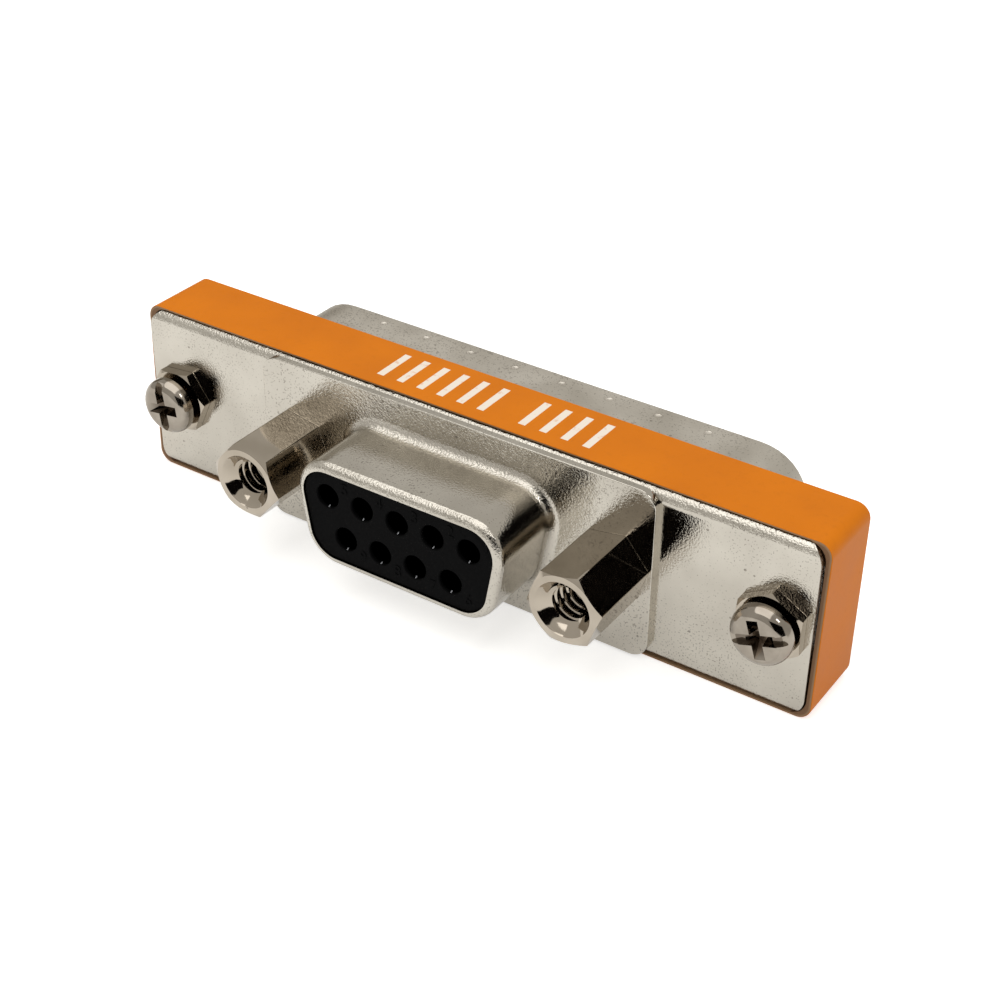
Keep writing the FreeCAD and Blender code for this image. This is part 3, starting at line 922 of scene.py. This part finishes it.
def makeContactRibs():
    form = tongueForm
    bm = bmesh.new()
    tilt = math.radians(form["tilt"])
    half = form["length"] / 2
    size = Matrix.Diagonal((form["width"] * mm, form["length"] * mm, form["thickness"] * mm, 1))
    for x, z in contactPlaces(9):
        depth = faceFront + form["front"] + half * math.cos(tilt)
        low = axisHeight + z - socketFace["holeRadius"] - form["sunk"]
        place = shiftTo(x, depth, low + half * math.sin(tilt))
        bmesh.ops.create_cube(bm, size=1.0, matrix=place @ Matrix.Rotation(tilt, 4, "X") @ size)
    # painted glint: a pale sliver that catches the lamp in each dark hole
    dressForm("glintRibs", bm, glintTongue, slot="gold_contact")


plugFace = {
    "gap": 0.05, "height": 0.9, "edge": 0.08,
    "rimLength": 41.4, "rimHeight": 10.45, "rimCorner": 0.1, "rimThickness": 1.5,
    "pinRadius": 0.51, "pinGap": 0.05, "pinBelowRim": 0.6, "holeMouth": 0.06,
    # how far behind the tip, and the share of the radius there
    "pinNose": ((0.55, 1.0), (0.3, 0.88), (0.1, 0.58), (0.02, 0.25)),
}


def makePlugInsulator():
    form = plugForm
    face = plugFace
    inset = form["wall"] + face["gap"]
    rimFront = plugFront - face["rimThickness"]
    rimSize = sizeOf(face, "rim")
    top = plugBack + face["height"]
    bm = bmesh.new()
    rim = [plateRing(bm, *rimSize, 0, y) for y in (rimFront, plugFront)]
    rings = [shellRing(bm, form, inset, plugFront)]
    rings += [shellRing(bm, form, inset + more, top - depth)
              for more, depth in quarterRound(face["edge"], 3)]
    bridgeAll(bm, rim)
    bridgeAll(bm, rings)
    fillBetween(bm, rim[0])
    fillBetween(bm, rim[1], rings[0])
    fillBetween(bm, rings[-1])
    closeUp(bm)
    radius = face["pinRadius"] + face["pinGap"]
    mouth = face["holeMouth"]
    profile = [(rimFront - clear, 0), (rimFront - clear, radius), (top - mouth, radius),
               (top + clear, radius + (mouth + clear)), (top + clear, 0)]
    mesh = carve(bm, ("DIFFERENCE", turnedRows(profile, contactPlaces(25), 20)))
    dressMesh("plugInsulator", mesh, blackPlastic, stands=["plug_insulator"],
              slot="black_plastic")


def makePlugPins():
    radius = plugFace["pinRadius"]
    tip = plugEnd - plugFace["pinBelowRim"]
    profile = [(boardBack, 0), (boardBack, radius)]
    profile += [(tip - behind, radius * share) for behind, share in plugFace["pinNose"]]
    profile.append((tip, 0))
    nodes = [f"plug_pin_{number}" for number in range(1, 26)]
    dressForm("plugPins", turnedRows(profile, contactPlaces(25), 20), contactGold,
              stands=nodes, slot="gold_contact")


makeSocketInsulator()
makeContactNumbers()
makeSocketContacts()
makeContactRibs()
makePlugInsulator()
makePlugPins()
print("insulators, contacts and pins made")


def spotOf(node):
    # middle X and front Y of a CAD node
    low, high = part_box(node)
    return (low[0] + high[0]) / 2 / mm, low[1] / mm


def hexWithChamfer(flats, turn, x, front, back, chamfer, edge, slope=0.6):
    # hexagon whose front corners are turned away
    corner = flats / 2 / math.cos(math.pi / 6)
    taper = (corner - chamfer) * slope
    reach = corner + 0.05
    coneBack = front + taper * (reach - chamfer) / (corner - chamfer)
    cone = [(front, 0), (front, chamfer), (coneBack, reach), (back + 0.1, reach), (back + 0.1, 0)]
    bar = hexBar(flats, turn, x, front, back, edge)
    return formFrom(carve(bar, ("INTERSECT", turnedForm(cone, 96, x))))


# tapped hexagon posts, riveted behind the plate
standoffForm = {
    "flats": 4.75, "chamfer": 2.38, "edge": 0.07, "stud": 1.42, "studOverlap": 0.3,
    "rivet": 2.1, "rivetHeight": 0.5, "mouth": 1.95,
    # bell of the mouth: depth, and how much wider than the mouth
    "bell": ((-0.1, 0.1), (0.15, -0.13), (0.42, -0.45), (0.55, -0.54)), "bellBack": 0.72,
    "drill": 5.3, "drillTip": 0.3,
    "threadStart": 0.15, "threadTurns": 7.5, "grooveSunk": 0.12, "grooveHalf": 0.26,
}


def makeStandoff(name, node, turn):
    form = standoffForm
    x, front = spotOf(node)
    rivetBack = plateBack + form["rivetHeight"]
    drillBack = front + form["drill"]
    minor = threadForm["minor"]
    bm = hexWithChamfer(form["flats"], turn, x, front, flangeFront, form["chamfer"], form["edge"])
    studFront = flangeFront - form["studOverlap"]
    stud = turnedForm([(studFront, 0), (studFront, form["stud"]), (plateBack, form["stud"]),
                       (plateBack, form["rivet"]), (rivetBack, form["rivet"]), (rivetBack, 0)],
                      40, x)
    bell = [(front + depth, form["mouth"] + wider) for depth, wider in form["bell"]]
    drill = turnedForm([(bell[0][0], 0), *bell, (front + form["bellBack"], minor),
                        (drillBack, minor), (drillBack + form["drillTip"], 0)], 96, x)
    groove = helixForm(minor - form["grooveSunk"], form["grooveHalf"],
                         front + form["threadStart"], form["threadTurns"], x)
    mesh = carve(bm, ("UNION", stud), ("DIFFERENCE", drill), ("DIFFERENCE", groove))
    dressMesh(name, mesh, standoffNickel, stands=[node], slot="nickel_brass", angle=24)


# thin nuts pressed into the plate
nutForm = {
    "flats": 4.32, "height": 0.78, "chamfer": 2.22, "edge": 0.06,
    "sleeve": 1.8, "sleeveLength": 0.55, "bore": 1.08,
}


def makeNut(name, node, turn):
    form = nutForm
    x = spotOf(node)[0]
    front = plateFront - form["height"]
    back = plateBack + form["sleeveLength"]
    bm = hexWithChamfer(form["flats"], turn, x, front, plateFront, form["chamfer"], form["edge"])
    sleeve = rodForm(plateFront - clear, back, form["sleeve"], 40, x)
    bore = rodForm(front - clear, back + clear, form["bore"], 48, x)
    mesh = carve(bm, ("UNION", sleeve), ("DIFFERENCE", bore))
    dressMesh(name, mesh, standoffNickel, stands=[node], slot="nickel_brass", angle=24)


makeStandoff("standoffLeft", "standoff_left", -10.0)
makeStandoff("standoffRight", "standoff_right", 10.0)
makeNut("hexNutLeft", "hex_nut_left", 6.0)
makeNut("hexNutRight", "hex_nut_right", 30.0)
print("standoffs and nuts made")

# captive screws: rounded head, thin neck, shank and thread; shankStart, threadStart and tip
# are places along Y for a head that lies on its nut
screwForm = {
    "radius": 2.06, "headHeight": 1.08, "headRound": 0.8, "headEdge": 0.08, "proud": 0.38,
    "neck": 1.0, "shank": 1.2, "shankStart": 1.48, "threadStart": 3.35, "runIn": 0.2,
    "tip": 8.3, "tipChamfer": 0.1, "threadTurns": 6.4, "ridgeStart": 0.3,
    "ridgeSunk": 0.1, "ridgeHalf": 0.28, "slotWidth": 0.66, "slotDepth": 0.4,
    "wingWidth": 0.75, "wingFoot": 0.35, "crossLength": 2.7, "crossDepth": 0.85,
    "crossCore": 0.45,
}
seatHome = plateFront - nutForm["height"]


def wingForm(face, quarter):
    # one tapering pair of wings of the cross, just above the face at its top
    form = screwForm
    bm = bmesh.new()
    for vert in bmesh.ops.create_cube(bm, size=1.0)["verts"]:
        deep = vert.co.y > 0
        reach = form["crossCore"] if deep else form["crossLength"] / 2
        width = form["wingWidth"] * (form["wingFoot"] if deep else 0.5)
        depth = form["crossDepth"] if deep else -0.01
        vert.co = (math.copysign(reach, vert.co.x) * mm, (face + depth) * mm,
                   math.copysign(width, vert.co.z) * mm)
    turn = Matrix.Rotation(math.pi / 2 * quarter, 3, "Y")
    bmesh.ops.rotate(bm, verts=bm.verts, cent=(0, 0, 0), matrix=turn)
    bmesh.ops.translate(bm, verts=bm.verts, vec=(0, 0, axisHeight * mm))
    return bm


def slotForm(face):
    form = screwForm
    bm = bmesh.new()
    place = shiftTo(0, face + form["slotDepth"] / 2 - clear / 2, axisHeight)
    size = Matrix.Diagonal((3 * form["radius"] * mm, (form["slotDepth"] + clear) * mm,
                            form["slotWidth"] * mm, 1))
    bmesh.ops.create_cube(bm, size=1.0, matrix=place @ size)
    return bm


def screwProfile(face, seat, shank, start, tip):
    form = screwForm
    radius, edge, chamfer = form["radius"], form["headEdge"], form["tipChamfer"]
    root = threadForm["root"]
    profile = [(face, 0)]
    profile += [(face + depth, radius - inset)
                for inset, depth in reversed(quarterRound(form["headRound"], 8))]
    profile += [(seat - edge, radius), (seat, radius - edge), (seat, form["neck"]),
                (shank, form["neck"]), (shank, form["shank"]), (start, form["shank"]),
                (start + form["runIn"], root), (tip - chamfer, root), (tip, root - chamfer),
                (tip, 0)]
    return profile


def makeScrew(name, node, turn):
    form = screwForm
    x, front = spotOf(node)
    face = front - form["proud"]
    seat = face + form["headHeight"]
    pull = seatHome - seat
    shank, start, tip = (form[key] - pull for key in ("shankStart", "threadStart", "tip"))
    ridge = helixForm(threadForm["root"] - form["ridgeSunk"], form["ridgeHalf"],
                        start + form["ridgeStart"], form["threadTurns"], 0)
    mesh = carve(turnedForm(screwProfile(face, seat, shank, start, tip), 72),
                 ("DIFFERENCE", slotForm(face)), ("DIFFERENCE", wingForm(face, 0)),
                 ("DIFFERENCE", wingForm(face, 1)), ("UNION", ridge))
    bm = formFrom(mesh)
    bmesh.ops.rotate(bm, verts=bm.verts, cent=(0, 0, axisHeight * mm),
                     matrix=Matrix.Rotation(math.radians(turn), 3, "Y"))
    bmesh.ops.translate(bm, verts=bm.verts, vec=(x * mm, 0, 0))
    dressForm(name, bm, screwNickel, body=node, stands=[node], slot="nickel_steel", angle=28)


makeScrew("jackscrewLeft", "jackscrew_left", 82.0)
makeScrew("jackscrewRight", "jackscrew_right", -18.0)
print("jackscrews made")

keptNodes = {
    "circuit_board": laminate, "retaining_washer_left": blackPlastic,
    "retaining_washer_right": blackPlastic,
}
for node, material in keptNodes.items():
    frame["nodes"][node].data.materials.clear()
    frame["nodes"][node].data.materials.append(material)

# pale floor, two softboxes and two plain cards out of the picture, all in metres
studio = {
    "floorTone": (0.82, 0.82, 0.81), "floorLift": 0.60, "floorMirrored": 0.31,
    "worldTone": (1.0, 0.97, 0.91), "worldStrength": 0.59,
    "worldLift": 0.40, "worldMirrored": 0.04,
    "keyPlace": (-0.06, -0.05, 0.30), "keySize": (0.31, 0.42),
    "keyAim": (-0.06, -0.05, 0.0), "keyPower": 0.54,
    "sidePlace": (0.22, -0.02, 0.28), "sideSize": (0.07, 0.07),
    "sideAim": (0.0, 0.0, 0.0), "sidePower": 0.12,
}
# place of a card: degrees to the right of the front, degrees up, and distance
cards = {
    "darkCard": {"place": (45.0, 16.0, 0.42), "size": (0.50, 0.34), "tone": (0.006, 0.005, 0.005)},
    "backCard": {"place": (-132.0, 12.0, 0.50), "size": (0.60, 0.24), "tone": (0.34, 0.30, 0.24)},
}


def stagePiece(name, size, place, material):
    bm = bmesh.new()
    bmesh.ops.create_grid(bm, x_segments=1, y_segments=1, size=0.5,
                          matrix=place @ Matrix.Diagonal((*size, 1, 1)))
    mesh = meshFrom(name, bm)
    mesh.materials.append(material)
    piece = linkNew(name, mesh)
    return piece


def stageMaterial(name, tone):
    material = bpy.data.materials.new(name)
    material.use_nodes = True
    shader = material.node_tree.nodes["Principled BSDF"]
    shader.inputs["Base Color"].default_value = (*tone, 1)
    shader.inputs["Roughness"].default_value = 0.9
    shader.inputs["Specular IOR Level"].default_value = 0.0
    return material


def addLift(tree, seen, mirrored):
    # one strength for what the camera sees, another for what the metal shows
    path = tree.nodes.new("ShaderNodeLightPath")
    through = addMath(tree, "MAXIMUM", path.outputs["Is Glossy Ray"],
                      path.outputs["Is Transmission Ray"])
    lift = addMath(tree, "MULTIPLY", path.outputs["Is Camera Ray"], seen)
    return addMath(tree, "MULTIPLY_ADD", through, mirrored, lift)


def makeFloor():
    material = stageMaterial("paleFloor", studio["floorTone"])
    tree = material.node_tree
    shader = tree.nodes["Principled BSDF"]
    shader.inputs["Emission Color"].default_value = (1, 1, 1, 1)
    lift = addLift(tree, studio["floorLift"], studio["floorMirrored"])
    tree.links.new(lift, shader.inputs["Emission Strength"])
    stagePiece("floor", (6, 6), Matrix(), material)


def makeCards():
    # only reflections show the cards
    for name, card in cards.items():
        side, rise, distance = card["place"]
        turn = Matrix.Rotation(math.radians(side), 4, "Z")
        turn = turn @ Matrix.Rotation(math.radians(90 - rise), 4, "X")
        place = turn @ Matrix.Translation((0, 0, distance))
        piece = stagePiece(name, card["size"], place, stageMaterial(name, card["tone"]))
        piece.visible_camera = piece.visible_diffuse = piece.visible_shadow = False


def addSoftbox(name):
    data = bpy.data.lights.new(name + "Softbox", "AREA")
    data.shape = "RECTANGLE"
    data.size, data.size_y = studio[name + "Size"]
    data.energy = studio[name + "Power"]
    lamp = linkNew(name + "Softbox", data)
    lamp.location = studio[name + "Place"]
    aim = Vector(studio[name + "Aim"]) - lamp.location
    lamp.rotation_euler = aim.to_track_quat("-Z", "Y").to_euler()


def makeWorld():
    world = bpy.data.worlds.new("studio")
    bpy.context.scene.world = world
    world.use_nodes = True
    tree = world.node_tree
    background = tree.nodes["Background"]
    path = tree.nodes.new("ShaderNodeLightPath")
    tone = addMix(tree, path.outputs["Is Camera Ray"], studio["worldTone"], (1.0, 1.0, 1.0))
    tree.links.new(tone, background.inputs["Color"])
    lift = addLift(tree, studio["worldLift"], studio["worldMirrored"])
    strength = addMath(tree, "ADD", lift, studio["worldStrength"])
    tree.links.new(strength, background.inputs["Strength"])


makeFloor()
makeCards()
addSoftbox("key")
addSoftbox("side")
makeWorld()
bpy.context.scene.view_settings.view_transform = "Standard"
print("stage and light set")
